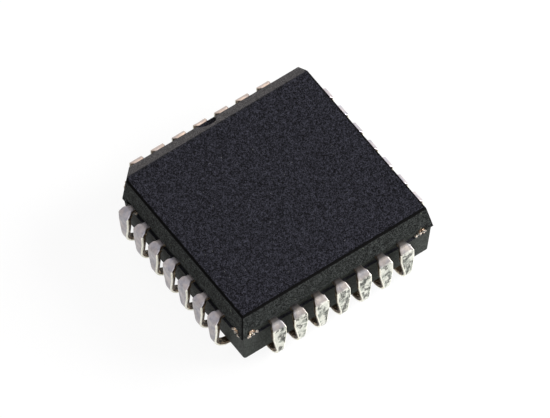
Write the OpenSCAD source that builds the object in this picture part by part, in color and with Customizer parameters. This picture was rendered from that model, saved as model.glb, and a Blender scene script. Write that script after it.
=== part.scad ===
// Plastic leaded chip carrier with seven J-formed leads on each side, for surface mounting.
// Lengths are in millimetres and +Z is up. The origin is the middle of the seating plane,
// where the lowest points of the leads meet the board. The index side faces +Y.

/* [Moulded body] */
// Width of the body both ways, at the seam between its upper and lower halves
body_w = 11.43; // [11:0.01:12]
// Height of the top face above the board
body_top = 4.2; // [3.9:0.05:4.6]
// Height of the underside above the board
stand_off = 0.54; // [0.5:0.01:0.7]
// Slope of the upper half's walls from upright, in degrees
upper_draft = 9; // [4:0.5:12]
// Slope of the lower half's walls from upright, in degrees
lower_draft = 4.5; // [2:0.5:8]
// How far the lower half stands behind the upper half at the seam
lower_setback = 0.055; // [0.02:0.005:0.12]
// Height of the seam groove that the leads come out of
groove_h = 0.62; // [0.5:0.02:0.8]
// Depth of the seam groove behind the lower half at the seam
groove_depth = 0.16; // [0.08:0.02:0.24]
// Distance of the groove's ends from the corners
groove_end = 0.36; // [0.25:0.01:0.45]
// Chamfer along the lower edge of the body
foot_chamfer = 0.07; // [0.04:0.01:0.15]
// Diameter of the round mould mark in the underside
mould_mark_d = 3; // [2:0.1:4]
// Depth of the round mould mark
mould_mark_depth = 0.08; // [0.04:0.02:0.16]

/* [Index marks] */
// Leg of the bevel along the index side
bevel_w = 1.1; // [0.8:0.02:1.16]
// Leg of the chamfer on the index corner
corner_chamfer = 1.14; // [1:0.02:1.3]
// Diameter of the half-round index notch in the bevel
notch_d = 1; // [0.7:0.05:1.4]
// Distance of the notch's centre from the bevel's outer edge
notch_set = 0.2; // [0.1:0.05:0.4]
// Height of the notch's floor above the seam groove
notch_floor = 0.13; // [0.05:0.01:0.3]

/* [Leads outside the body] */
// Distance of a row's end leads from the corners of the body
row_end_inset = 1.905; // [1.8:0.005:2.1]
// Thickness of the lead strip
lead_t = 0.254; // [0.2:0.002:0.3]
// Height of the leads' middle plane, where the two mould halves met
lead_z = 2.7; // [2.5:0.05:2.9]
// How far the outer face of a lead stands out from the body
lead_reach = 0.51; // [0.44:0.005:0.58]
// Width of a lead where it leaves the body
neck_w = 0.4; // [0.33:0.01:0.5]
// Width of a lead at its shoulder bend
shoulder_w = 0.62; // [0.5:0.01:0.66]
// Width of a lead at the widest part of its leg
leg_w = 0.76; // [0.66:0.01:0.82]
// Width of a lead at its curled foot
foot_w = 0.36; // [0.33:0.01:0.5]
// Distance of the flare's ends from the body and from the back of the leg
flare_set = 0.05; // [0.02:0.01:0.06]
// Outer radius of the shoulder bend
shoulder_r = 0.5; // [0.35:0.01:0.6]
// Height of the widest part of the leg
taper_top = 1.9; // [1.7:0.05:2.1]
// Height over which the leg tapers to the foot
taper_h = 1.2; // [0.8:0.05:1.2]
// Outer radius of the curled foot
foot_r = 1; // [0.8:0.05:1.15]
// How far the foot curls past its lowest point, in degrees
foot_turn = 65; // [60:1:80]
// Clearance round a lead's tip in its pocket
pocket_gap = 0.1; // [0.06:0.01:0.14]

/* [Lead frame inside the body] */
// Straight length of a lead inside the body, before it fans in
neck_in = 0.9; // [0.6:0.05:1.2]
// Width of a finger at its tip
finger_tip_w = 0.35; // [0.25:0.01:0.45]
// Distance between neighbouring finger tips
finger_tip_pitch = 0.72; // [0.6:0.01:0.85]
// Gap in plan between the pad and the finger tips
finger_gap = 0.35; // [0.25:0.05:0.6]
// Width of the square pad that carries the chip
pad_w = 5.2; // [4.5:0.1:5.6]
// Width of the pad's tie bars
tie_w = 0.3; // [0.2:0.02:0.4]
// Distance of the tie bars' trimmed ends from the body's corners
tie_inset = 0.65; // [0.5:0.05:0.9]
// How far the trimmed ends stand out of the seam groove's floor
tie_proud = 0.14; // [0.02:0.02:0.2]
// How far the trimmed end at the index corner stands out of the chamfer
corner_tie_proud = 0.03; // [0.02:0.01:0.06]

/* [Chip and wires] */
// Width of the square silicon chip
die_w = 3.4; // [2.5:0.1:4.4]
// Thickness of the silicon chip
die_t = 0.38; // [0.28:0.02:0.5]
// Thickness of the adhesive under the chip
attach_t = 0.03; // [0.02:0.005:0.05]
// How far the adhesive shows round the chip
attach_margin = 0.1; // [0.05:0.05:0.3]
// Thickness of a bond wire
wire_d = 0.033; // [0.025:0.001:0.05]
// Rise of a bond wire's loop above the chip
loop_h = 0.2; // [0.12:0.02:0.3]
// Width of the bonded ball on the chip
ball_d = 0.09; // [0.06:0.01:0.12]
// Height of the bonded ball
ball_h = 0.03; // [0.02:0.005:0.05]
// Distance of the bonds from the chip's edge
bond_inset = 0.15; // [0.1:0.01:0.25]
// Distance between neighbouring bonds on the chip
bond_pitch = 0.4; // [0.25:0.01:0.48]
// Distance of the stitch bond from the finger's tip
stitch_set = 0.25; // [0.15:0.01:0.4]
// Length of the stitch bond
stitch_l = 0.08; // [0.05:0.01:0.12]

/* [Hidden] */
$fn = 64;
leads_per_side = 7;
sides = 4;
side_middle = (leads_per_side - 1) / 2;
lead_count = sides * leads_per_side;
cut_over = 1;

// Heights
lead_top = lead_z + lead_t / 2;
leg_top = lead_top - shoulder_r;
groove_low = lead_z - groove_h / 2;
groove_high = lead_z + groove_h / 2;
die_bottom = lead_top + attach_t;
die_top = die_bottom + die_t;
loop_top = die_top + loop_h;

// Distances from the middle of the package
body_half = body_w / 2;
lead_pitch = (body_w - 2 * row_end_inset) / (leads_per_side - 1);
lower_half = body_half - lower_setback;
groove_floor = lower_half - groove_depth;
diagonal_half = (body_w - corner_chamfer) / sqrt(2);
leg_face = body_half + lead_reach;
bend_start = leg_face - shoulder_r;
foot_centre = leg_face - foot_r;
knee = body_half - neck_in;
pad_half = pad_w / 2;
finger_tip = pad_half + finger_gap;
stitch = finger_tip + stitch_set;
bond = die_w / 2 - bond_inset;
tie_corner = body_half - tie_inset;

// Wall from the foot up to the seam, as points (distance from the middle, height)
function lower_wall(edge) = let (
    low = edge - lower_setback,
    heel = low - (lead_z - stand_off - foot_chamfer) * tan(lower_draft)
) [
    [heel - foot_chamfer, stand_off],
    [heel, stand_off + foot_chamfer],
    [low, lead_z],
    [edge, lead_z]
];
function whole_wall(edge) = concat(lower_wall(edge), [[edge - drafted_inset, body_top]]);
function reversed(points) = [for (i = [len(points) - 1 : -1 : 0]) points[i]];
function mirrored(points) = [for (p = reversed(points)) [-p[0], p[1]]];

drafted_inset = (body_top - lead_z) * tan(upper_draft);
drafted_wall = whole_wall(body_half);
bevel = [[body_half, body_top - bevel_w], [body_half - bevel_w, body_top]];
bevelled_wall = concat(lower_wall(body_half), bevel);
index_corner_wall = whole_wall(diagonal_half);

// Half length of the groove on a side, towards one of the corners counted from +X +Y against the clock
index_corner = 1;
function groove_run(corner) = body_half - groove_end - (corner == index_corner ? corner_chamfer : 0);

// Outline of the pad and its tie bars in plan, one corner after another against the clock.
// A bar forks to pass through both walls of a square corner, and runs straight out of the chamfered one.
tie_side = tie_w / sqrt(2);
fork_low = tie_corner - tie_w / 2;
fork_high = tie_corner + tie_w / 2;
fork_reach = groove_floor + tie_proud;
straight_reach = (diagonal_half + corner_tie_proud) / sqrt(2);
forked_tie = [
    [pad_half, pad_half - tie_side],
    [fork_low + tie_side, fork_low],
    [fork_reach, fork_low],
    [fork_reach, fork_high],
    [fork_high, fork_high],
    [fork_high, fork_reach],
    [fork_low, fork_reach],
    [fork_low, fork_low + tie_side],
    [pad_half - tie_side, pad_half]
];
straight_tie = [
    [pad_half, pad_half - tie_side],
    [straight_reach + tie_side / 2, straight_reach - tie_side / 2],
    [straight_reach - tie_side / 2, straight_reach + tie_side / 2],
    [pad_half - tie_side, pad_half]
];
function turned(p, angle) = [p[0] * cos(angle) - p[1] * sin(angle), p[0] * sin(angle) + p[1] * cos(angle)];
pad_outline = [
    for (corner = [0 : sides - 1])
        for (p = corner == index_corner ? straight_tie : forked_tie)
            turned(p, 90 * corner)
];

// Place of a lead by its number, counted from the middle of the index side against the clock
function lead_side(i) = floor((i + side_middle) / leads_per_side) % sides;
function lead_slot(i) = side_middle - (i + side_middle) % leads_per_side;
function lead_name(i) = str("lead_", i < 9 ? "0" : "", i + 1);

// Sideways place of a finger's middle line at a distance from the middle of the package
function finger_x(slot, y) =
    slot * (finger_tip_pitch + (lead_pitch - finger_tip_pitch) * (y - finger_tip) / (knee - finger_tip));

// A wall profile drawn right across the package, turned to face the given angle
module across(angle, profile) {
    rotate(angle)
        rotate([90, 0, 0])
            linear_extrude(3 * body_w, center = true)
                polygon(profile);
}

// A drawing in the plane (distance from the middle, height), given a width along the side
module along_side(width) {
    rotate([90, 0, 90])
        linear_extrude(width, center = true)
            children();
}

// Bent stretch of strip in side view, kept within the sector through the given directions
module strip_bend(r, sector) {
    intersection() {
        difference() {
            circle(r);
            circle(r - lead_t);
        }
        polygon(concat([[0, 0]], 2 * r * sector));
    }
}

// Outer form of the moulding, before the groove and anything inside it is taken out
module body_form() {
    intersection() {
        across(0, concat(drafted_wall, mirrored(drafted_wall)));
        across(90, concat(bevelled_wall, mirrored(drafted_wall)));
        across(135, concat(index_corner_wall, [[-body_w, body_top], [-body_w, stand_off]]));
    }
}

// Groove along the seam of one side, which stops short of the corners
module seam_groove(side) {
    right = groove_run(side);
    left = groove_run((side + 1) % sides);
    rotate(90 * side)
        translate([-left, groove_floor, groove_low])
            cube([left + right, body_w, groove_h]);
}

// Half-round notch that marks the first lead
module index_notch() {
    translate([0, body_half - notch_set, groove_high + notch_floor])
        cylinder(d = notch_d, h = body_top);
}

// Pocket in the underside that a lead's tip curls up into
module tip_pocket(slot) {
    inner_r = foot_r - lead_t;
    low = foot_centre - foot_r * sin(foot_turn) - pocket_gap;
    high = foot_centre - inner_r * sin(acos((foot_r - stand_off) / inner_r)) + pocket_gap;
    top = foot_r - inner_r * cos(foot_turn) + pocket_gap;
    width = foot_w + 2 * pocket_gap;
    translate([slot * lead_pitch - width / 2, low, stand_off - cut_over])
        cube([width, high - low, top - stand_off + cut_over]);
}

// Flat part of a lead: the finger inside the body and the neck that leaves it
module finger(slot, reach) {
    x = slot * lead_pitch;
    tip_x = slot * finger_tip_pitch;
    translate([0, 0, lead_z - lead_t / 2])
        linear_extrude(lead_t)
            polygon([
                [x - neck_w / 2, reach],
                [x - neck_w / 2, knee],
                [tip_x - finger_tip_w / 2, finger_tip],
                [tip_x + finger_tip_w / 2, finger_tip],
                [x + neck_w / 2, knee],
                [x + neck_w / 2, reach]
            ]);
}

// Side view of a formed lead: neck, shoulder bend, leg and curled foot
module lead_profile() {
    translate([knee, lead_z - lead_t / 2])
        square([bend_start - knee, lead_t]);
    translate([bend_start, leg_top])
        strip_bend(shoulder_r, [[1, 0], [1, 1], [0, 1]]);
    translate([leg_face - lead_t, foot_r])
        square([lead_t, leg_top - foot_r]);
    translate([foot_centre, foot_r])
        strip_bend(foot_r, [[-1, -1 / tan(foot_turn)], [-1, -1], [1, -1], [1, 0]]);
}

// Plan of a formed lead, in which the neck widens to the shoulder
module lead_plan() {
    flare_start = body_half + flare_set;
    flare_end = leg_face - lead_t - flare_set;
    polygon([
        [-neck_w / 2, 0],
        [-neck_w / 2, flare_start],
        [-shoulder_w / 2, flare_end],
        [-leg_w / 2, flare_end],
        [-leg_w / 2, body_w],
        [leg_w / 2, body_w],
        [leg_w / 2, flare_end],
        [shoulder_w / 2, flare_end],
        [neck_w / 2, flare_start],
        [neck_w / 2, 0]
    ]);
}

// Front view of a formed lead, in which the leg widens and tapers to the foot
module lead_front() {
    taper_end = taper_top - taper_h;
    polygon([
        [-foot_w / 2, -cut_over],
        [foot_w / 2, -cut_over],
        [foot_w / 2, taper_end],
        [leg_w / 2, taper_top],
        [shoulder_w / 2, leg_top],
        [shoulder_w / 2, body_top],
        [-shoulder_w / 2, body_top],
        [-shoulder_w / 2, leg_top],
        [-leg_w / 2, taper_top],
        [-foot_w / 2, taper_end]
    ]);
}

// Formed part of a lead, where its three views meet
module formed_lead() {
    intersection() {
        along_side(leg_w)
            lead_profile();
        linear_extrude(body_top)
            lead_plan();
        rotate([90, 0, 0])
            linear_extrude(3 * body_w, center = true)
                lead_front();
    }
}

// One stamped and formed lead, from its finger inside the body to its curled foot
module lead(i) {
    slot = lead_slot(i);
    color("#c8c4bc")
        rotate(90 * lead_side(i)) {
            finger(slot, body_half);
            translate([slot * lead_pitch, 0, 0])
                formed_lead();
        }
}

// Stamped pad with its four tie bars
module die_pad() {
    color("#b9764a")
        translate([0, 0, lead_z - lead_t / 2])
            linear_extrude(lead_t)
                polygon(pad_outline);
}

// Layer of adhesive that holds the chip on its pad
module die_attach() {
    width = die_w + 2 * attach_margin;
    color("#9a9a98")
        translate([-width / 2, -width / 2, lead_top])
            cube([width, width, attach_t]);
}

// Silicon chip
module die() {
    color("#4a5568")
        translate([-die_w / 2, -die_w / 2, die_bottom])
            cube([die_w, die_w, die_t]);
}

// One bond wire from the chip's edge to a finger, with a ball at one end and a stitch at the other
module bond_wire(slot) {
    from = [slot * bond_pitch, bond];
    to = [finger_x(slot, stitch), stitch];
    span = norm(to - from);
    flat = span / 3;
    translate([from[0], from[1], 0])
        rotate(atan2(to[1] - from[1], to[0] - from[0]) - 90) {
            along_side(wire_d)
                polygon([
                    [-wire_d / 2, die_top],
                    [-wire_d / 2, loop_top],
                    [flat, loop_top],
                    [span, lead_top + wire_d / 2],
                    [span, lead_top],
                    [span - stitch_l, lead_top],
                    [flat, loop_top - wire_d],
                    [wire_d / 2, loop_top - wire_d],
                    [wire_d / 2, die_top]
                ]);
            translate([0, 0, die_top])
                cylinder(d = ball_d, h = ball_h, $fn = 8);
        }
}

// All bond wires, one to each lead
module bond_wires() {
    color("#d8a840")
        for (i = [0 : lead_count - 1])
            rotate(90 * lead_side(i))
                bond_wire(lead_slot(i));
}

// Moulded body, which fills the space round everything inside it
module body() {
    color("#2e2d31")
        difference() {
            body_form();
            for (side = [0 : sides - 1])
                seam_groove(side);
            index_notch();
            translate([0, 0, stand_off - cut_over])
                cylinder(d = mould_mark_d, h = cut_over + mould_mark_depth);
            for (i = [0 : lead_count - 1])
                rotate(90 * lead_side(i)) {
                    finger(lead_slot(i), body_w);
                    tip_pocket(lead_slot(i));
                }
            die_pad();
            die_attach();
            die();
            bond_wires();
        }
}

body();
die_pad();
die_attach();
die();
bond_wires();
for (i = [0 : lead_count - 1])
    lead(i);
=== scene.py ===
# Plastic leaded chip carrier, dressed for rendering.
# Sizes are in millimetres, up to the finished meshes, which are in metres.
import math

import bmesh
import bpy
from mathutils import Matrix, Vector, noise


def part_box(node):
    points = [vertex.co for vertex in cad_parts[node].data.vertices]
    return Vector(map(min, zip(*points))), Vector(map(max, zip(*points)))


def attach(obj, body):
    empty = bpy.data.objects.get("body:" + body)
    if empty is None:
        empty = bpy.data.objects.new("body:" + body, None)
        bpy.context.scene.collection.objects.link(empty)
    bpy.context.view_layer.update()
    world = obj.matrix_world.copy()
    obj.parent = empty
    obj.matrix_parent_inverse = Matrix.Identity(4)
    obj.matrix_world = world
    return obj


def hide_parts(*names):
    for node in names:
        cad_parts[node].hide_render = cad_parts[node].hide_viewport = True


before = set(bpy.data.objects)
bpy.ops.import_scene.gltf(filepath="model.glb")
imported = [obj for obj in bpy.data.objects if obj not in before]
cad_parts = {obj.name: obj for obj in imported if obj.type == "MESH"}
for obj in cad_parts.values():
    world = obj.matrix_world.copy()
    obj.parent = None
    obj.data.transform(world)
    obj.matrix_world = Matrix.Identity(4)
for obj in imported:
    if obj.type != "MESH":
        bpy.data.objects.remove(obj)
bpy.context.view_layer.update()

MM = 0.001
QUARTER_TURN = math.radians(90)
TINY = 1e-6
NEAR = 1e-4

# Sizes read from the frame
body_low, body_high = (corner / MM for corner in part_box("body"))
pad_low, pad_high = (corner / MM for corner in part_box("die_pad"))
first_low, first_high = (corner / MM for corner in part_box("lead_01"))
end_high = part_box("lead_26")[1] / MM

BODY_HALF = body_high.x
BODY_TOP = body_high.z
STAND_OFF = body_low.z
LEAD_Z = (pad_low.z + pad_high.z) / 2
LEAD_T = pad_high.z - pad_low.z
LEAD_TOP = LEAD_Z + LEAD_T / 2
LEG_FACE = first_high.y
FINGER_TIP = first_low.y
LEG_W = first_high.x - first_low.x
FORK_REACH = pad_high.x
SIDES = 4
ROW_COUNT = 7
ROW_SLOTS = (ROW_COUNT - 1) // 2
LEAD_COUNT = SIDES * ROW_COUNT
LEAD_PITCH = (end_high.x - first_high.x) / ROW_SLOTS

# Moulding, with the same values as the solids
UPPER_DRAFT = math.radians(9)
LOWER_DRAFT = math.radians(4.5)
LOWER_SETBACK = 0.055
GROOVE_H = 0.62
GROOVE_DEPTH = 0.16
GROOVE_END = 0.36
FOOT_CHAMFER = 0.07
MOULD_MARK_D = 3.0
MOULD_MARK_DEPTH = 0.08
BEVEL_W = 1.1
CORNER_CHAMFER = 1.14
NOTCH_D = 1.0
NOTCH_SET = 0.2
NOTCH_FLOOR = 0.13

# Rounding of the moulding's edges, and how far its cuts reach past it
LOWER_ROUND = 0.1
UPPER_ROUND = 0.1
UPRIGHT_ROUND = 0.06
FOOT_ROUND = 0.03
SEAM_ROUND = 0.012
ROUND_STEPS = 3
CUT_PAST = 1.0

# Leads, with the same values as the solids
NECK_W = 0.4
SHOULDER_W = 0.62
FOOT_W = 0.36
FLARE_SET = 0.05
SHOULDER_R = 0.5
TAPER_TOP = 1.9
TAPER_H = 1.2
FOOT_R = 1.0
FOOT_TURN = math.radians(65)
POCKET_GAP = 0.1
NECK_IN = 0.9
FINGER_TIP_W = 0.35
FINGER_TIP_PITCH = 0.72

# Two folds that make up the shoulder bend, each with its outer and inner radius
FOLD_ANGLE = math.radians(45)
FOLDS = ((0.3, 0.05), (0.1, 0.03))

# Rounded edges of the strip, and the height on its sides where the burnished part, with its
# painted highlight, ends
STRIP_ROUND = 0.04
BURNISH = 0.03

# Dents in the leads: depth, number to a millimetre, and share of rubbing by height
LUMP_DEPTH = 0.02
LUMPS_PER_MM = 2.2
RUB_DEPTH = 0.03
RUBS_PER_MM = 6.0
RUBBED_HEIGHTS = ((0.5, 0), (0.9, 1), (2.0, 1), (2.3, 0))

# Painted light on the plating of each row, on the index side, then on -X, -Y and +X: share of the
# bright legs that are a painted reflection of the floor, and the colour factor that lightens or
# darkens the whole row for the light it catches
ROW_PAINTED_LIGHT = (
    (0.12, (1.35, 1.2, 1.02)),
    (0.12, (1.0, 1.0, 1.0)),
    (1.0, (0.74, 0.735, 0.68)),
    (0.12, (1.5, 1.5, 1.5)),
)

# Pad and its tie bars, with the same values as the solids
PAD_W = 5.2
TIE_W = 0.3
TIE_INSET = 0.65
CORNER_TIE_PROUD = 0.03

# Torn ends of the tie bars: largest depth, tears to a millimetre, and change from layer to layer
TEAR = 0.28
TEARS_PER_MM = 9
TEAR_CHANGE = 0.8

# Crumbs beside the tie bars: radius, distances from the groove's end, place over the groove's
# floor and lower lip, spread in height, shape, and the seed that gives each run the same crumbs
FLASH_SIZE = 0.09
FLASH_PLACES = (0.05, 0.15, 0.38, 0.6)
FLASH_OUT = 0.08
FLASH_UP = 0.07
FLASH_SPREAD = 0.05
FLASH_STRETCH = Vector((1.3, 1, 0.8))
FLASH_ROUGH = 0.7
FLASH_LUMPS = 1.8
FLASH_SEED = 1

# Places that follow from these sizes
GROOVE_LOW = LEAD_Z - GROOVE_H / 2
GROOVE_HIGH = LEAD_Z + GROOVE_H / 2
GROOVE_FLOOR = BODY_HALF - LOWER_SETBACK - GROOVE_DEPTH
LEG_TOP = LEAD_TOP - SHOULDER_R
BEND_START = LEG_FACE - SHOULDER_R
FOOT_CENTRE = LEG_FACE - FOOT_R
KNEE = BODY_HALF - NECK_IN
INDEX_CORNER = 1

# Photograph's frame and the camera fitted to it
IMAGE_W = 550
AZIMUTH = math.radians(-32.55)
ELEVATION = math.radians(55.97)
ROLL = math.radians(-2.93)
CAMERA_DISTANCE = 500.0
AIM = Vector((0, 0, 2.5))
PIXELS_PER_MM = 20.402
SHIFT_PIXELS = (3.89, -2.40)
SENSOR_W = 36.0
CLIP_START, CLIP_END = 0.01, 5.0

# Floor and surroundings: grey for the light on the part, and what the camera and gloss see
FLOOR_SIZE = 900
FLOOR_GREY = 0.8
FLOOR_SEEN_GREY = 0.12
FLOOR_SEEN_GLOW = 0.9
WORLD_LIGHT = 0.35
WORLD_SEEN = 1.0
WARM = (1.0, 0.93, 0.84)


def object_from(name, bm, *materials, slot=None):
    """Object from a bmesh in millimetres, which rides on the part if it has materials."""
    bm.normal_update()
    mesh = bpy.data.meshes.new(name)
    bm.to_mesh(mesh)
    bm.free()
    mesh.transform(Matrix.Scale(MM, 4))
    piece = bpy.data.objects.new(name, mesh)
    bpy.context.scene.collection.objects.link(piece)
    for material in materials:
        mesh.materials.append(material)
    if materials:
        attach(piece, "root")
    return piece


def smooth(piece, angle):
    """Smooth shading, with edges sharper than the angle kept, and large faces kept flat."""
    piece.data.shade_smooth()
    piece.data.set_sharp_from_angle(angle=math.radians(angle))
    weighted = piece.modifiers.new("weighted", "WEIGHTED_NORMAL")
    weighted.keep_sharp = True


def bake_modifiers(piece):
    """Turns the piece's modifiers into its mesh."""
    depsgraph = bpy.context.evaluated_depsgraph_get()
    mesh = bpy.data.meshes.new_from_object(piece.evaluated_get(depsgraph))
    piece.modifiers.clear()
    old = piece.data
    piece.data = mesh
    bpy.data.meshes.remove(old)
    mesh.name = piece.name


class Shader:
    """Node tree of one material, round its Principled shader."""

    def __init__(self, name, **sockets):
        self.material = bpy.data.materials.new(name)
        self.material.use_nodes = True
        self.tree = self.material.node_tree
        self.principled = self.tree.nodes["Principled BSDF"]
        for socket, value in sockets.items():
            self.principled.inputs[socket.replace("_", " ")].default_value = value
        coordinates = self.tree.nodes.new("ShaderNodeTexCoord")
        self.place = coordinates.outputs["Object"]
        self.normal = coordinates.outputs["Normal"]

    def link(self, output, socket):
        self.tree.links.new(output, socket)

    def noise(self, size, detail=3.0, roughness=0.6, stretch=None):
        """Noise whose grains are about the given size in millimetres."""
        node = self.tree.nodes.new("ShaderNodeTexNoise")
        node.inputs["Scale"].default_value = 1 / (size * MM)
        node.inputs["Detail"].default_value = detail
        node.inputs["Roughness"].default_value = roughness
        place = self.place
        if stretch:
            mapping = self.tree.nodes.new("ShaderNodeMapping")
            mapping.inputs["Scale"].default_value = stretch
            self.link(place, mapping.inputs["Vector"])
            place = mapping.outputs["Vector"]
        self.link(place, node.inputs["Vector"])
        return node.outputs["Fac"]

    def cells(self, size):
        """Cells of about the given size in millimetres, each with a value of its own."""
        node = self.tree.nodes.new("ShaderNodeTexVoronoi")
        node.inputs["Scale"].default_value = 1 / (size * MM)
        self.link(self.place, node.inputs["Vector"])
        return node.outputs["Color"]

    def height(self, low, high):
        """0 at the low height in millimetres, 1 at the high one."""
        apart = self.tree.nodes.new("ShaderNodeSeparateXYZ")
        self.link(self.place, apart.inputs[0])
        node = self.tree.nodes.new("ShaderNodeMapRange")
        node.inputs["From Min"].default_value = low * MM
        node.inputs["From Max"].default_value = high * MM
        self.link(apart.outputs["Z"], node.inputs["Value"])
        return node.outputs["Result"]

    def upward(self):
        """1 where the surface faces up, 0 where it stands upright."""
        apart = self.tree.nodes.new("ShaderNodeSeparateXYZ")
        self.link(self.normal, apart.inputs[0])
        return apart.outputs["Z"]

    def ramp(self, value, *stops):
        """Colour or grey by the value, from (position, colour) stops."""
        node = self.tree.nodes.new("ShaderNodeValToRGB")
        elements = node.color_ramp.elements
        while len(elements) < len(stops):
            elements.new(0.5)
        for element, (position, colour) in zip(elements, stops):
            element.position = position
            shades = colour if isinstance(colour, tuple) else (colour, colour, colour)
            element.color = (*shades, 1)
        self.link(value, node.inputs["Fac"])
        return node.outputs["Color"]

    def mix(self, first, second, factor, blend="MIX"):
        """The two colours mixed by the factor."""
        node = self.tree.nodes.new("ShaderNodeMix")
        node.data_type = "RGBA"
        node.blend_type = blend
        factor_socket, first_socket, second_socket = (node.inputs[i] for i in (0, 6, 7))
        pairs = (factor, factor_socket), (first, first_socket), (second, second_socket)
        for value, socket in pairs:
            if isinstance(value, bpy.types.NodeSocket):
                self.link(value, socket)
            else:
                socket.default_value = value
        return node.outputs[2]

    def bump(self, height, depth, strength=1.0):
        """Bump of the given depth in millimetres."""
        node = self.tree.nodes.new("ShaderNodeBump")
        node.inputs["Distance"].default_value = depth * MM
        node.inputs["Strength"].default_value = strength
        self.link(height, node.inputs["Height"])
        self.link(node.outputs["Normal"], self.principled.inputs["Normal"])

    def colour(self, output):
        self.link(output, self.principled.inputs["Base Color"])

    def roughness(self, output):
        self.link(output, self.principled.inputs["Roughness"])


# Materials

def moulding_material():
    """Black epoxy with a fine grain, dark pits and pale flecks; more even and paler in its lower
    half, a painted reflection of the floor, and lighter or darker by the way each face turns,
    which is painted light.
    """
    shader = Shader("moulding", Specular_IOR_Level=0.05)
    grain = shader.cells(0.045)
    patch = shader.noise(0.22, detail=4, roughness=0.75)
    pit = shader.noise(0.12, detail=1)
    fleck = shader.noise(0.12, detail=1, stretch=(1.1, 0.9, 1))
    fine = shader.ramp(
        grain,
        (0.2, (0.0043, 0.0043, 0.006)),
        (0.5, (0.0285, 0.0285, 0.0385)),
        (0.8, (0.08, 0.08, 0.107)),
    )
    uneven = shader.mix(fine, shader.ramp(patch, (0.3, 0.35), (0.65, 1.0)), 1.0, "MULTIPLY")
    pitted = shader.mix(uneven, shader.ramp(pit, (0.3, 0.05), (0.37, 1.0)), 1.0, "MULTIPLY")
    fleck_share = shader.ramp(fleck, (0.75, 0.0), (0.8, 1.0))
    flecked = shader.mix(pitted, (0.23, 0.23, 0.23, 1), fleck_share)
    # Painted reflection: the lower half is made paler, for the bright floor that its walls
    # reflect.
    lower_half = shader.ramp(shader.height(LEAD_Z - 0.02, LEAD_Z), (0.0, 0.35), (1.0, 0.0))
    painted_lower_reflection = shader.mix(flecked, (0.086, 0.086, 0.106, 1), lower_half)
    # Painted light by the way each face turns: the walls are darkened and tinted green, the bevel
    # is lightened as a painted grazing reflection, and the top is darkened.
    painted_light_by_facing = shader.ramp(
        shader.upward(),
        (0.3, (0.7, 0.77, 0.55)),
        (0.7, (1.6, 1.4, 1.12)),
        (0.9, (0.7, 0.7, 0.7)),
    )
    shader.colour(shader.mix(painted_lower_reflection, painted_light_by_facing, 1.0, "MULTIPLY"))
    matt = shader.ramp(grain, (0.3, 0.66), (0.7, 0.52))
    smoother_bevel = shader.ramp(shader.upward(), (0.5, 1.0), (0.7, 0.82), (0.9, 1.0))
    shader.roughness(shader.mix(matt, smoother_bevel, 1.0, "MULTIPLY"))
    shader.bump(patch, 0.01, 0.6)
    return shader.material


def moulding_painted_edge_shade_material():
    """Smoother resin along the moulding's rounded edges, painted near black there as shade."""
    shader = Shader("moulding_painted_edge_shade", Specular_IOR_Level=0.03)
    grain = shader.noise(0.08, detail=3)
    shader.colour(shader.ramp(grain, (0.3, 0.0005), (0.7, 0.003)))
    shader.roughness(shader.ramp(grain, (0.3, 0.6), (0.7, 0.45)))
    shader.bump(grain, 0.006, 0.4)
    return shader.material


def plating_material(name, wear, painted_tone):
    """Plating with specks, stains and scratches, lightened or darkened as a whole by the row's
    colour factor, which is painted light, and with legs made bright as far as the wear says, which
    is a painted reflection of the floor.
    """
    shader = Shader(name, Metallic=1.0)
    blotch = shader.noise(0.5, detail=3)
    stain = shader.noise(0.34, detail=2, roughness=0.55)
    speck = shader.noise(0.11, detail=3, roughness=0.65)
    scratch = shader.noise(0.36, detail=3, roughness=0.6, stretch=(1, 1, 0.8))
    # Painted reflection of the floor: the legs are made bright by height, as far as the wear says;
    # the marks and stains on them are the plating's own.
    leg_height = shader.height(0.2, 2.9)
    leg = shader.ramp(leg_height, (0.03, 0.4), (0.12, 1.0), (0.86, 1.0), (0.9, 0.0))
    painted_leg_reflection = shader.mix((0, 0, 0, 1), leg, wear)
    grey = shader.ramp(blotch, (0.35, (0.31, 0.285, 0.295)), (0.65, (0.43, 0.40, 0.41)))
    tint = shader.ramp(stain, (0.36, (0.80, 0.83, 0.90)), (0.6, (1.0, 0.97, 0.95)))
    tinted = shader.mix(grey, tint, 1.0, "MULTIPLY")
    # Painted light: the row's colour factor lightens or darkens all of its plating.
    toned_plating = shader.mix(tinted, (*painted_tone, 1), 1.0, "MULTIPLY")
    bright = shader.ramp(blotch, (0.35, (0.66, 0.66, 0.59)), (0.65, (0.82, 0.83, 0.75)))
    marks = shader.ramp(scratch, (0.34, 0.75), (0.41, 0.12), (0.45, 0.4), (0.5, 1.0))
    stains = shader.ramp(stain, (0.38, (0.46, 0.48, 0.47)), (0.5, (1.0, 1.0, 1.0)))
    leg_reflection_and_marks = shader.mix(bright, shader.mix(marks, stains, 1.0, "MULTIPLY"), 1.0, "MULTIPLY")
    shade = shader.ramp(speck, (0.25, (0.8, 0.79, 0.79)), (0.45, (1.0, 1.0, 1.0)))
    shader.colour(shader.mix(shader.mix(toned_plating, leg_reflection_and_marks, painted_leg_reflection), shade, 1.0, "MULTIPLY"))
    shader.roughness(shader.ramp(speck, (0.3, 0.5), (0.7, 0.36)))
    shader.bump(scratch, 0.02, 0.4)
    return shader.material


def burnished_highlight_material():
    """Rolled-over, burnished part of a lead's stamped sides, with yellowish tin, pale and nearly
    matt so that the lamps light it as a painted highlight.
    """
    shader = Shader("lead_burnished_highlight", Metallic=0.2)
    blotch = shader.noise(0.2, detail=3)
    shader.colour(shader.ramp(blotch, (0.3, (0.82, 0.79, 0.62)), (0.55, (0.98, 0.96, 0.86))))
    shader.roughness(shader.ramp(blotch, (0.3, 0.5), (0.7, 0.35)))
    shader.bump(blotch, 0.01, 0.5)
    return shader.material


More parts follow.
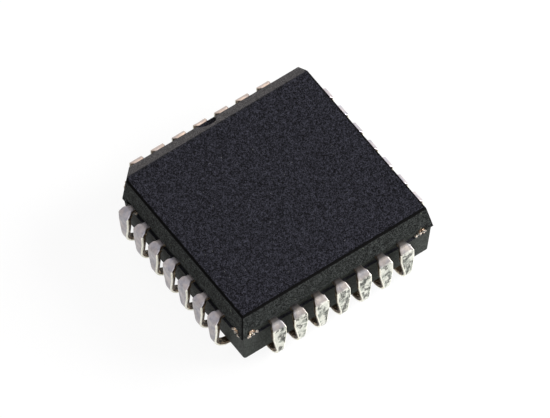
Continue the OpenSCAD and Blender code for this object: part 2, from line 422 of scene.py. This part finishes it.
def sheared_and_shaded_material():
    """Torn part of a lead's sides and its inner face, tarnished brown with streaks of tin, and
    painted near black as shade inside the curl, under the shoulder and between the leads.
    """
    shader = Shader("lead_sheared_and_shaded", Metallic=0.6)
    blotch = shader.noise(0.16, detail=3, stretch=(1, 1, 0.6))
    tarnish_and_shade = shader.ramp(
        blotch,
        (0.4, (0.03, 0.022, 0.014)),
        (0.58, (0.12, 0.08, 0.045)),
        (0.7, (0.6, 0.5, 0.34)),
    )
    shader.colour(tarnish_and_shade)
    shader.roughness(shader.ramp(blotch, (0.3, 0.65), (0.7, 0.45)))
    shader.bump(blotch, 0.02, 0.5)
    return shader.material


def frame_metal_material():
    """Copper strip of the lead frame, with bright flecks of plating where it was torn off."""
    shader = Shader("frame_metal", Metallic=1.0)
    streak = shader.noise(0.05, detail=3, roughness=0.7)
    copper = shader.ramp(
        streak,
        (0.42, (0.03, 0.02, 0.015)),
        (0.5, (0.3, 0.19, 0.12)),
        (0.58, (0.72, 0.58, 0.44)),
        (0.64, (1.0, 0.96, 0.9)),
    )
    shader.colour(copper)
    shader.roughness(shader.ramp(streak, (0.3, 0.5), (0.7, 0.3)))
    shader.bump(streak, 0.02, 0.6)
    return shader.material


def flash_material():
    """Thin resin that squeezed out of the seam, with flecks of torn copper; its pale grey is
    painted light that lifts it out of the groove's shade, and its white flecks are painted glints.
    """
    shader = Shader("resin_flash", Specular_IOR_Level=0.5)
    crumb = shader.noise(0.07, detail=3, roughness=0.7)
    # Painted light: pale grey against the groove's shade, with white painted glints.
    resin = shader.ramp(
        crumb,
        (0.36, (0.04, 0.04, 0.04)),
        (0.48, (0.42, 0.42, 0.39)),
        (0.6, (0.5, 0.33, 0.22)),
        (0.66, (0.9, 0.88, 0.82)),
    )
    shader.colour(resin)
    shader.roughness(shader.ramp(crumb, (0.3, 0.6), (0.7, 0.35)))
    shader.bump(crumb, 0.02, 0.6)
    return shader.material


def gold_material():
    """Bright gold wire."""
    shader = Shader("gold_wire", Metallic=1.0)
    streak = shader.noise(0.05, detail=3)
    shader.colour(shader.ramp(streak, (0.3, (0.75, 0.50, 0.18)), (0.7, (0.95, 0.70, 0.30))))
    shader.roughness(shader.ramp(streak, (0.3, 0.25), (0.7, 0.18)))
    shader.bump(streak, 0.002, 0.4)
    return shader.material


def adhesive_material():
    """Silver-filled adhesive."""
    shader = Shader("die_adhesive", Metallic=0.4)
    flake = shader.noise(0.03, detail=2)
    shader.colour(shader.ramp(flake, (0.3, (0.28, 0.28, 0.28)), (0.7, (0.55, 0.55, 0.54))))
    shader.roughness(shader.ramp(flake, (0.3, 0.6), (0.7, 0.45)))
    shader.bump(flake, 0.004, 0.5)
    return shader.material


def silicon_material():
    """Dark, glossy silicon with a faint pattern of blocks."""
    shader = Shader("silicon_chip", Metallic=0.5)
    block = shader.noise(0.3, detail=1)
    shader.colour(shader.ramp(block, (0.4, (0.05, 0.06, 0.09)), (0.6, (0.10, 0.09, 0.13))))
    shader.roughness(shader.ramp(block, (0.4, 0.15), (0.6, 0.25)))
    shader.bump(block, 0.001, 0.3)
    return shader.material


# Moulded body

def wall_levels():
    """Height, inset of the plain walls and inset of the index wall, from the foot to the top."""
    heel = LOWER_SETBACK + (LEAD_Z - STAND_OFF - FOOT_CHAMFER) * math.tan(LOWER_DRAFT)
    slope = math.tan(UPPER_DRAFT)
    bevel_foot = BODY_TOP - BEVEL_W
    return [
        (STAND_OFF, heel + FOOT_CHAMFER, heel + FOOT_CHAMFER),
        (STAND_OFF + FOOT_CHAMFER, heel, heel),
        (LEAD_Z, LOWER_SETBACK, LOWER_SETBACK),
        (LEAD_Z, 0, 0),
        (bevel_foot, (bevel_foot - LEAD_Z) * slope, 0),
        (BODY_TOP, (BODY_TOP - LEAD_Z) * slope, BEVEL_W),
    ]


def level_outline(inset, index_inset):
    """Corners of the moulding at one level, against the clock, with one corner chamfered."""
    side = BODY_HALF - inset
    index_side = BODY_HALF - index_inset
    reach = 2 * BODY_HALF - CORNER_CHAMFER - inset * math.sqrt(2)
    return [
        (-side, -side),
        (side, -side),
        (side, index_side),
        (index_side - reach, index_side),
        (-side, reach - side),
    ]


def edge_round(first, second):
    """Rounding of an outward edge, by its ends' heights."""
    level = math.isclose(first, second, abs_tol=NEAR)
    height = (first + second) / 2
    if level and math.isclose(height, LEAD_Z, abs_tol=NEAR):
        return SEAM_ROUND
    if level and height < LEAD_Z:
        return FOOT_ROUND
    if height < LEAD_Z:
        return LOWER_ROUND
    return UPPER_ROUND if level else UPRIGHT_ROUND


def moulding_form():
    """Closed mesh of the moulding's outer form, with its edges' rounding as weights."""
    bm = bmesh.new()
    rings = [
        [bm.verts.new((x, y, height)) for x, y in level_outline(inset, index_inset)]
        for height, inset, index_inset in wall_levels()
    ]
    for low, high in zip(rings, rings[1:]):
        for i in range(len(low)):
            j = (i + 1) % len(low)
            bm.faces.new((low[i], low[j], high[j], high[i]))
    bm.faces.new(reversed(rings[0]))
    bm.faces.new(rings[-1])
    bm.normal_update()
    weight = bm.edges.layers.float.new("bevel_weight_edge")
    for edge in bm.edges:
        if edge.calc_face_angle_signed() > math.radians(1):
            edge[weight] = edge_round(*(vert.co.z for vert in edge.verts)) / LOWER_ROUND
    return bm


def add_box(bm, low, high):
    """A box between two corners, for cutting."""
    size = Vector(high) - Vector(low)
    middle = (Vector(high) + Vector(low)) / 2
    matrix = Matrix.Translation(middle) @ Matrix.Diagonal((*size, 1))
    bmesh.ops.create_cube(bm, size=1, matrix=matrix)


def add_cylinder(bm, x, y, low, high, diameter):
    """An upright cylinder, for cutting."""
    bmesh.ops.create_cone(
        bm,
        cap_ends=True,
        segments=96,
        radius1=diameter / 2,
        radius2=diameter / 2,
        depth=high - low,
        matrix=Matrix.Translation((x, y, (low + high) / 2)),
    )


def add_prism(bm, outline, low, high):
    """An upright prism over an outline, for cutting."""
    base = [bm.verts.new((x, y, low)) for x, y in outline]
    top = [bm.verts.new((x, y, high)) for x, y in outline]
    for i in range(len(outline)):
        j = (i + 1) % len(outline)
        bm.faces.new((base[i], base[j], top[j], top[i]))
    bm.faces.new(reversed(base))
    bm.faces.new(top)


def turned(bm, before, side):
    """Turns what was added on to a side, counted from the index side against the clock."""
    added = [v for v in bm.verts if v not in before]
    bmesh.ops.rotate(bm, verts=added, matrix=Matrix.Rotation(QUARTER_TURN * side, 3, "Z"))


def lead_side(index):
    """Side that a lead stands on."""
    return ((index + ROW_SLOTS) // ROW_COUNT) % SIDES


def row_slot(index):
    """Place of a lead in its row, 0 in the middle."""
    return ROW_SLOTS - (index + ROW_SLOTS) % ROW_COUNT


def groove_run(corner):
    """Half length of a side's groove towards a corner."""
    return BODY_HALF - GROOVE_END - (CORNER_CHAMFER if corner == INDEX_CORNER else 0)


def outer_cuts():
    """Seam grooves, index notch, mould mark and the pockets that the lead tips curl up into."""
    bm = bmesh.new()
    notch_low, notch_high = GROOVE_HIGH + NOTCH_FLOOR, BODY_TOP + CUT_PAST
    add_cylinder(bm, 0, BODY_HALF - NOTCH_SET, notch_low, notch_high, NOTCH_D)
    add_cylinder(bm, 0, 0, STAND_OFF - CUT_PAST, STAND_OFF + MOULD_MARK_DEPTH, MOULD_MARK_D)
    for side in range(SIDES):
        before = set(bm.verts)
        left, right = -groove_run((side + 1) % SIDES), groove_run(side)
        add_box(bm, (left, GROOVE_FLOOR, GROOVE_LOW), (right, BODY_HALF + CUT_PAST, GROOVE_HIGH))
        turned(bm, before, side)
    inner_r = FOOT_R - LEAD_T
    low = FOOT_CENTRE - FOOT_R * math.sin(FOOT_TURN) - POCKET_GAP
    crossing = math.acos((FOOT_R - STAND_OFF) / inner_r)
    high = FOOT_CENTRE - inner_r * math.sin(crossing) + POCKET_GAP
    top = FOOT_R - inner_r * math.cos(FOOT_TURN) + POCKET_GAP
    half = FOOT_W / 2 + POCKET_GAP
    for index in range(LEAD_COUNT):
        before = set(bm.verts)
        x = row_slot(index) * LEAD_PITCH
        add_box(bm, (x - half, low, STAND_OFF - CUT_PAST), (x + half, high, top))
        turned(bm, before, lead_side(index))
    return bm


def finger_cuts():
    """Slots that the leads fill inside the moulding."""
    bm = bmesh.new()
    for index in range(LEAD_COUNT):
        before = set(bm.verts)
        slot = row_slot(index)
        x, tip_x = slot * LEAD_PITCH, slot * FINGER_TIP_PITCH
        outline = [
            (x - NECK_W / 2, BODY_HALF + CUT_PAST),
            (x - NECK_W / 2, KNEE),
            (tip_x - FINGER_TIP_W / 2, FINGER_TIP),
            (tip_x + FINGER_TIP_W / 2, FINGER_TIP),
            (x + NECK_W / 2, KNEE),
            (x + NECK_W / 2, BODY_HALF + CUT_PAST),
        ]
        add_prism(bm, outline, LEAD_Z - LEAD_T / 2, LEAD_TOP)
        turned(bm, before, lead_side(index))
    return bm


def make_body(moulding, moulding_painted_edge_shade):
    """The moulded body, with rounded edges, its cuts and the room for everything inside it."""
    piece = object_from("moulded_body", moulding_form(), moulding, moulding_painted_edge_shade, slot="moulding")
    rounding = piece.modifiers.new("rounding", "BEVEL")
    rounding.limit_method = "WEIGHT"
    rounding.width = LOWER_ROUND * MM
    rounding.segments = ROUND_STEPS
    # The rounded edges take the second material, with its painted edge shade
    rounding.material = 1
    cutters = [object_from("outer_cuts", outer_cuts()), object_from("finger_cuts", finger_cuts())]
    inner = [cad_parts[name] for name in ("die_pad", "die_attach", "die", "bond_wires")]
    for cutter in cutters + inner:
        cut = piece.modifiers.new(cutter.name, "BOOLEAN")
        cut.operation = "DIFFERENCE"
        cut.solver = "EXACT"
        cut.object = cutter
    bake_modifiers(piece)
    for cutter in cutters:
        bpy.data.objects.remove(cutter)
    bevel_top = BODY_HALF - BEVEL_W
    # The painted edge shade stays off the lower half and the top of the bevel
    for face in piece.data.polygons:
        centre = face.center / MM
        if centre.z < LEAD_Z or abs(centre.y - bevel_top) < UPPER_ROUND:
            face.material_index = 0
    smooth(piece, angle=35)
    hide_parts("body")


# Leads

def between(value, *stops):
    """Value read off a line through (position, value) stops, level beyond its ends."""
    for (low, first), (high, second) in zip(stops, stops[1:]):
        if value <= high:
            part = min(max((value - low) / (high - low), 0), 1)
            return first + (second - first) * part
    return stops[-1][1]


def shoulder_folds():
    """Outer and inner (y, z) points of the bend: a flat slope between a soft and a crisp fold."""
    fold_steps = 8
    half = FOLD_ANGLE / 2
    reach = SHOULDER_R * math.tan(half)
    corners = Vector((BEND_START + reach, LEAD_TOP)), Vector((LEG_FACE, LEG_TOP + reach))
    points = []
    for number, (corner, (outer_r, inner_r)) in enumerate(zip(corners, FOLDS)):
        start = QUARTER_TURN - FOLD_ANGLE * number
        mitre = Vector((math.cos(start - half), math.sin(start - half))) / math.cos(half)
        for step in range(fold_steps + 1):
            angle = start - FOLD_ANGLE * step / fold_steps
            round_off = Vector((math.cos(angle), math.sin(angle))) - mitre
            inner_corner = corner - LEAD_T * mitre
            points.append((corner + outer_r * round_off, inner_corner + inner_r * round_off))
    return points


def lead_stations(slot):
    """Sections along a lead from finger to tip: middle x, y and z, outward (y, z), half width."""
    x = slot * LEAD_PITCH
    tip_x = slot * FINGER_TIP_PITCH
    up = (0, 1)
    stations = [
        (tip_x, FINGER_TIP, LEAD_Z, up, FINGER_TIP_W / 2),
        (x, KNEE, LEAD_Z, up, NECK_W / 2),
        (x, GROOVE_FLOOR, LEAD_Z, up, NECK_W / 2),
    ]
    neck_steps, leg_steps, foot_steps = 3, 20, 32
    for step in range(1, neck_steps):
        y = GROOVE_FLOOR + (BEND_START - GROOVE_FLOOR) * step / neck_steps
        stations.append((x, y, LEAD_Z, up, NECK_W / 2))
    flare = (
        (BODY_HALF + FLARE_SET, NECK_W / 2),
        (LEG_FACE - LEAD_T, SHOULDER_W / 2),
        (LEG_FACE, LEG_W / 2),
    )
    for outer, inner in shoulder_folds():
        middle = (outer + inner) / 2
        stations.append((x, *middle, (outer - inner) / LEAD_T, between(outer.x, *flare)))
    leg = ((TAPER_TOP - TAPER_H, FOOT_W / 2), (TAPER_TOP, LEG_W / 2))
    for step in range(1, leg_steps):
        z = LEG_TOP + (FOOT_R - LEG_TOP) * step / leg_steps
        stations.append((x, LEG_FACE - LEAD_T / 2, z, (1, 0), between(z, *leg)))
    middle_r = FOOT_R - LEAD_T / 2
    for step in range(foot_steps + 1):
        angle = -(QUARTER_TURN + FOOT_TURN) * step / foot_steps
        out = (math.cos(angle), math.sin(angle))
        z = FOOT_R + middle_r * out[1]
        half = between(z, *leg) if angle > -QUARTER_TURN else FOOT_W / 2
        stations.append((x, FOOT_CENTRE + middle_r * out[0], z, out, half))
    return stations


def strip_section(half_w, half_t):
    """Rounded rectangle round the strip, as (across, outward) points against the clock."""
    corner_steps, across_steps = 3, 10
    points = []
    corners = [(1, 1, 0), (-1, 1, 90), (-1, -1, 180), (1, -1, 270)]
    for number, (sx, sy, start) in enumerate(corners):
        cx = sx * (half_w - STRIP_ROUND)
        cy = sy * (half_t - STRIP_ROUND)
        for step in range(corner_steps + 1):
            angle = math.radians(start + 90 * step / corner_steps)
            across, outward = STRIP_ROUND * math.cos(angle), STRIP_ROUND * math.sin(angle)
            points.append((cx + across, cy + outward))
        if number % 2 == 0:
            span = -2 * cx
            for step in range(1, across_steps):
                points.append((cx + span * step / across_steps, sy * half_t))
        else:
            points.append((sx * half_w, BURNISH))
    return points


def wear(place, index):
    """Depth of the dents in a lead's outer face at a place: soft lumps, and rubs on its leg."""
    own = Vector((index * 7.3, index * 3.1, 0))
    lumps = max(noise.noise(place * LUMPS_PER_MM + own), 0)
    rubs = max(noise.noise(place * RUBS_PER_MM + own), 0)
    return LUMP_DEPTH * lumps + RUB_DEPTH * rubs * between(place.z, *RUBBED_HEIGHTS)


def make_lead(index, plating, burnished_highlight, sheared_and_shaded):
    """One lead, with its rolled edges and wear, in place on its side."""
    bm = bmesh.new()
    rings = []
    half_t = LEAD_T / 2
    outer = half_t - STRIP_ROUND - TINY
    stations = lead_stations(row_slot(index))
    for x, y, z, out, half_w in stations:
        ring = []
        outside = y > BODY_HALF
        for across, outward in strip_section(half_w, half_t):
            reach = outward
            if outside and outward > outer:
                inside = (1 - (across / half_w) ** 2) ** 2
                reach -= wear(Vector((x + across, y, z)), index) * inside
            ring.append(bm.verts.new((x + across, y + reach * out[0], z + reach * out[1])))
        rings.append(ring)
    section = strip_section(LEG_W / 2, half_t)
    flat = LEG_W / 2 - STRIP_ROUND
    for (_, y, z, _, _), first, second in zip(stations, rings, rings[1:]):
        formed = y > LEG_FACE - LEAD_T or z < LEG_TOP
        for i in range(len(first)):
            j = (i + 1) % len(first)
            face = bm.faces.new((first[i], first[j], second[j], second[i]))
            lowest = min(section[i][1], section[j][1])
            # The burnished rim of the formed part takes the painted highlight.
            pale = lowest > BURNISH - TINY or min(section[i][0], section[j][0]) < -flat
            # The rest of the formed sides and the inner face take the painted shade of the
            # torn-side material.
            if lowest > (half_t - TINY if formed else outer):
                face.material_index = 0
            else:
                face.material_index = 1 if formed and pale and lowest > -outer else 2
    bm.faces.new(reversed(rings[0]))
    bm.faces.new(rings[-1]).material_index = 2
    bmesh.ops.recalc_face_normals(bm, faces=bm.faces)
    turned(bm, set(), lead_side(index))
    name = f"lead_{index + 1:02d}"
    piece = object_from(f"formed_{name}", bm, plating, burnished_highlight, sheared_and_shaded, slot="lead_plating")
    smooth(piece, angle=40)
    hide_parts(name)


# Pad, chip and wires

def torn_end(first, second, layer):
    """Points across the trimmed end of a tie bar, pulled in and out where the strip tore."""
    steps = 10
    first, second = Vector(first), Vector(second)
    inward = (second - first).orthogonal().normalized()
    points = [first]
    for step in range(1, steps):
        place = first.lerp(second, step / steps)
        spot = Vector((place.x * TEARS_PER_MM, place.y * TEARS_PER_MM, layer * TEAR_CHANGE))
        points.append(place + inward * TEAR * abs(noise.noise(spot)))
    return points + [second]


def pad_outline(layer):
    """Outline of the pad and its four tie bars, one corner after another against the clock."""
    pad_half = PAD_W / 2
    tie_side = TIE_W / math.sqrt(2)
    fork_low = BODY_HALF - TIE_INSET - TIE_W / 2
    fork_high = fork_low + TIE_W
    straight = BODY_HALF - (CORNER_CHAMFER - CORNER_TIE_PROUD * math.sqrt(2)) / 2
    outline = []
    for corner in range(SIDES):
        turn = Matrix.Rotation(QUARTER_TURN * corner, 2)

        def end(first, second):
            return torn_end(turn @ Vector(first), turn @ Vector(second), layer)

        outline.append(turn @ Vector((pad_half, pad_half - tie_side)))
        if corner == INDEX_CORNER:
            near, far = straight - tie_side / 2, straight + tie_side / 2
            outline += end((far, near), (near, far))
        else:
            outline.append(turn @ Vector((fork_low + tie_side, fork_low)))
            outline += end((FORK_REACH, fork_low), (FORK_REACH, fork_high))
            outline.append(turn @ Vector((fork_high, fork_high)))
            outline += end((fork_high, FORK_REACH), (fork_low, FORK_REACH))
            outline.append(turn @ Vector((fork_low, fork_low + tie_side)))
        outline.append(turn @ Vector((pad_half - tie_side, pad_half)))
    return outline


def make_pad(frame_metal):
    """Die pad with tie bars that end torn in the groove."""
    bm = bmesh.new()
    layers = 6
    rings = []
    for layer in range(layers + 1):
        z = LEAD_Z - LEAD_T / 2 + LEAD_T * layer / layers
        rings.append([bm.verts.new((p.x, p.y, z)) for p in pad_outline(layer)])
    for low, high in zip(rings, rings[1:]):
        for i in range(len(low)):
            j = (i + 1) % len(low)
            bm.faces.new((low[i], low[j], high[j], high[i]))
    bm.faces.new(reversed(rings[0]))
    bm.faces.new(rings[-1])
    piece = object_from("pad_frame", bm, frame_metal, slot="frame_metal")
    smooth(piece, angle=30)
    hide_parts("die_pad")


def make_flash(flash):
    """Crumbs of resin left in the ends of the grooves, beside the tie bars."""
    noise.seed_set(FLASH_SEED)
    bm = bmesh.new()
    for corner in range(SIDES):
        for side, sign in ((corner, 1), ((corner - 1) % SIDES, -1)):
            turn = Matrix.Rotation(QUARTER_TURN * side, 3, "Z")
            for crumb, end_gap in enumerate(FLASH_PLACES):
                own = Vector((corner * 5.7, sign * 3.3, crumb * 1.9))
                drift = noise.noise_vector(own)
                size = FLASH_SIZE * (0.7 + 0.5 * abs(drift.z))
                along = groove_run(corner) - end_gap
                height = GROOVE_LOW + FLASH_UP + FLASH_SPREAD * drift.x
                place = Vector((sign * along, GROOVE_FLOOR + FLASH_OUT, height))
                for vert in bmesh.ops.create_icosphere(bm, subdivisions=3, radius=1)["verts"]:
                    rough = 1 + FLASH_ROUGH * noise.noise(vert.co * FLASH_LUMPS + own)
                    vert.co = turn @ (place + size * rough * (FLASH_STRETCH * vert.co))
    piece = object_from("seam_flash", bm, flash, slot="moulding")
    smooth(piece, angle=60)


def dress_inner_nodes():
    """Materials of the pieces inside the body, whose solids stay as they are."""
    finishes = {
        "die_attach": adhesive_material(),
        "die": silicon_material(),
        "bond_wires": gold_material(),
    }
    for name, material in finishes.items():
        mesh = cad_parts[name].data
        mesh.materials.clear()
        mesh.materials.append(material)


# Camera, floor and light

def make_camera():
    """Camera at the photograph's viewing angle."""
    back = Vector((
        math.sin(AZIMUTH) * math.cos(ELEVATION),
        -math.cos(AZIMUTH) * math.cos(ELEVATION),
        math.sin(ELEVATION),
    ))
    level = Vector((math.cos(AZIMUTH), math.sin(AZIMUTH), 0))
    upright = back.cross(level)
    right = math.cos(ROLL) * level + math.sin(ROLL) * upright
    up = math.cos(ROLL) * upright - math.sin(ROLL) * level
    data = bpy.data.cameras.new("camera")
    data.sensor_width = SENSOR_W
    data.lens = PIXELS_PER_MM * CAMERA_DISTANCE / IMAGE_W * SENSOR_W
    data.shift_x = SHIFT_PIXELS[0] / IMAGE_W
    data.shift_y = SHIFT_PIXELS[1] / IMAGE_W
    data.clip_start = CLIP_START
    data.clip_end = CLIP_END
    camera = bpy.data.objects.new("camera", data)
    turn = Matrix((right, up, back)).transposed().to_4x4()
    camera.matrix_world = Matrix.Translation((AIM + back * CAMERA_DISTANCE) * MM) @ turn
    bpy.context.scene.collection.objects.link(camera)
    bpy.context.scene.camera = camera


def seen_rays(tree):
    """1 for rays from the camera, off gloss or through glass, and 0 for light on matt surfaces."""
    path = tree.nodes.new("ShaderNodeLightPath")
    total = path.outputs["Is Camera Ray"]
    for name in ("Is Glossy Ray", "Is Transmission Ray"):
        node = tree.nodes.new("ShaderNodeMath")
        node.operation = "ADD"
        node.use_clamp = True
        tree.links.new(total, node.inputs[0])
        tree.links.new(path.outputs[name], node.inputs[1])
        total = node.outputs[0]
    return total


def make_floor():
    """Pale floor that looks white to the camera and keeps a soft shadow."""
    bm = bmesh.new()
    bmesh.ops.create_grid(bm, x_segments=8, y_segments=8, size=FLOOR_SIZE)
    floor = object_from("floor", bm)
    material = bpy.data.materials.new("floor")
    material.use_nodes = True
    tree = material.node_tree
    tree.nodes.clear()
    matt = tree.nodes.new("ShaderNodeBsdfDiffuse")
    matt.inputs["Color"].default_value = (FLOOR_GREY, FLOOR_GREY, FLOOR_GREY, 1)
    dim = tree.nodes.new("ShaderNodeBsdfDiffuse")
    dim.inputs["Color"].default_value = (FLOOR_SEEN_GREY, FLOOR_SEEN_GREY, FLOOR_SEEN_GREY, 1)
    glow = tree.nodes.new("ShaderNodeEmission")
    glow.inputs["Strength"].default_value = FLOOR_SEEN_GLOW
    both = tree.nodes.new("ShaderNodeAddShader")
    pick = tree.nodes.new("ShaderNodeMixShader")
    output = tree.nodes.new("ShaderNodeOutputMaterial")
    tree.links.new(dim.outputs[0], both.inputs[0])
    tree.links.new(glow.outputs[0], both.inputs[1])
    tree.links.new(seen_rays(tree), pick.inputs[0])
    tree.links.new(matt.outputs[0], pick.inputs[1])
    tree.links.new(both.outputs[0], pick.inputs[2])
    tree.links.new(pick.outputs[0], output.inputs["Surface"])
    floor.data.materials.append(material)


def make_world():
    """White surroundings, which light the part softly."""
    world = bpy.data.worlds.new("studio")
    world.use_nodes = True
    tree = world.node_tree
    background = tree.nodes["Background"]
    background.inputs["Color"].default_value = (1, 1, 1, 1)
    level = tree.nodes.new("ShaderNodeMapRange")
    level.inputs["To Min"].default_value = WORLD_LIGHT
    level.inputs["To Max"].default_value = WORLD_SEEN
    tree.links.new(seen_rays(tree), level.inputs["Value"])
    tree.links.new(level.outputs["Result"], background.inputs["Strength"])
    bpy.context.scene.world = world


def add_softbox(name, azimuth, elevation, distance, size, power, colour=(1, 1, 1)):
    """A square soft lamp that faces the part. Azimuth 0 is in front and 90 on the right."""
    a, e = math.radians(azimuth), math.radians(elevation)
    back = Vector((math.sin(a) * math.cos(e), -math.cos(a) * math.cos(e), math.sin(e)))
    data = bpy.data.lights.new(name, "AREA")
    data.shape = "SQUARE"
    data.size = size * MM
    data.energy = power
    data.color = colour
    lamp = bpy.data.objects.new(name, data)
    lamp.location = back * distance * MM
    lamp.rotation_mode = "QUATERNION"
    lamp.rotation_quaternion = back.to_track_quat("Z", "Y")
    bpy.context.scene.collection.objects.link(lamp)


make_camera()
make_floor()
make_world()
add_softbox("key", azimuth=64, elevation=22, distance=260, size=200, power=1.4)
add_softbox("front", azimuth=-34, elevation=12, distance=300, size=140, power=0.35)
add_softbox("back", azimuth=170, elevation=18, distance=300, size=160, power=0.15, colour=WARM)
make_body(moulding_material(), moulding_painted_edge_shade_material())
edges = burnished_highlight_material(), sheared_and_shaded_material()
# Each row gets its own lit or shaded copy of the plating.
platings = [
    plating_material(f"lead_plating_{side}", *row_light) for side, row_light in enumerate(ROW_PAINTED_LIGHT)
]
for number in range(LEAD_COUNT):
    make_lead(number, platings[lead_side(number)], *edges)
make_pad(frame_metal_material())
make_flash(flash_material())
dress_inner_nodes()

bpy.context.scene.view_settings.view_transform = "Standard"
